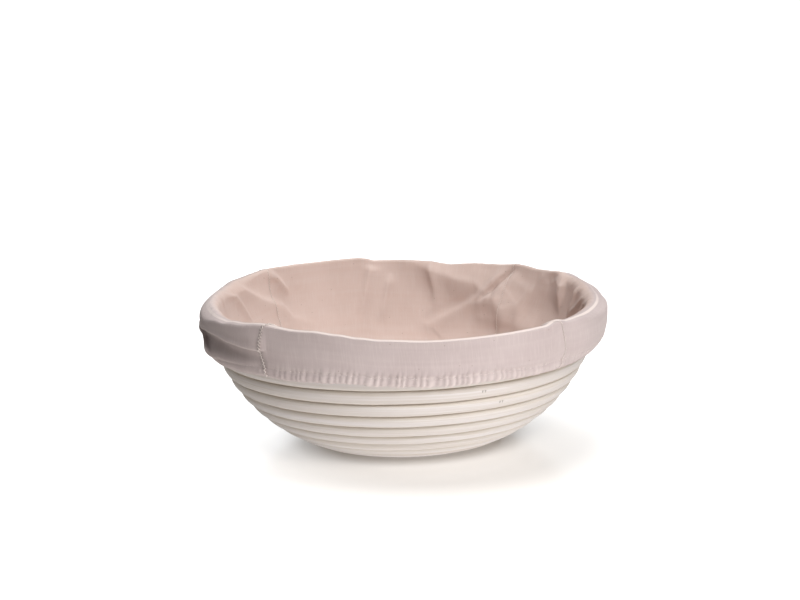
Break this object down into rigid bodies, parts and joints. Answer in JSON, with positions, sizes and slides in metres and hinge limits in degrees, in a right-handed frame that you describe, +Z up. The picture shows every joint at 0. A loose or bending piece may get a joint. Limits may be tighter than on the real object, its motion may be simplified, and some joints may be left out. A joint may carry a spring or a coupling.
{
  "type": "proofing basket",
  "caption": "Round spiral-wound cane proofing basket with a gored cotton liner turned down over the rim and held by an elastic hem, for shaping bread dough.",
  "frame": {"origin": "on the table under the centre of the base", "axes": "+Z up, -Y to the front, where the rim's spiral runs out a little to the left"},
  "size_m": [0.2464, 0.2462, 0.0939],
  "materials": {
    "cane": "bare bleached rattan",
    "cotton": "unbleached woven cotton",
    "elastic": "woven elastic",
    "staple_wire": "bright wire"
  },
  "bodies": {
    "basket": {"base_cane": "cane", "lower_wall_cane": "cane", "upper_wall_cane": "cane", "rim_cane": "cane", "staple_01": "staple_wire", "staple_02": "staple_wire", "staple_03": "staple_wire", "staple_04": "staple_wire", "staple_05": "staple_wire", "staple_06": "staple_wire", "staple_07": "staple_wire", "staple_08": "staple_wire", "staple_09": "staple_wire", "staple_10": "staple_wire", "staple_11": "staple_wire", "staple_12": "staple_wire", "staple_13": "staple_wire", "staple_14": "staple_wire", "staple_15": "staple_wire", "staple_16": "staple_wire", "staple_17": "staple_wire", "staple_18": "staple_wire", "staple_19": "staple_wire", "staple_20": "staple_wire", "staple_21": "staple_wire", "staple_22": "staple_wire", "staple_23": "staple_wire", "staple_24": "staple_wire", "staple_25": "staple_wire", "staple_26": "staple_wire", "staple_27": "staple_wire", "staple_28": "staple_wire", "staple_29": "staple_wire", "staple_30": "staple_wire"},
    "liner": {"right_gore_bowl": "cotton", "back_gore_bowl": "cotton", "left_gore_bowl": "cotton", "front_gore_bowl": "cotton", "right_gore_turn_down": "cotton", "back_gore_turn_down": "cotton", "left_gore_turn_down": "cotton", "front_gore_turn_down": "cotton", "hem_elastic": "elastic"}
  },
  "joints": [
    {"name": "liner_lift", "type": "slide", "parent": "basket", "child": "liner", "axis": [0, 0, 1], "range_m": [0, 0.12], "deforming": ["right_gore_turn_down", "back_gore_turn_down", "left_gore_turn_down", "front_gore_turn_down", "hem_elastic"]}
  ]
}
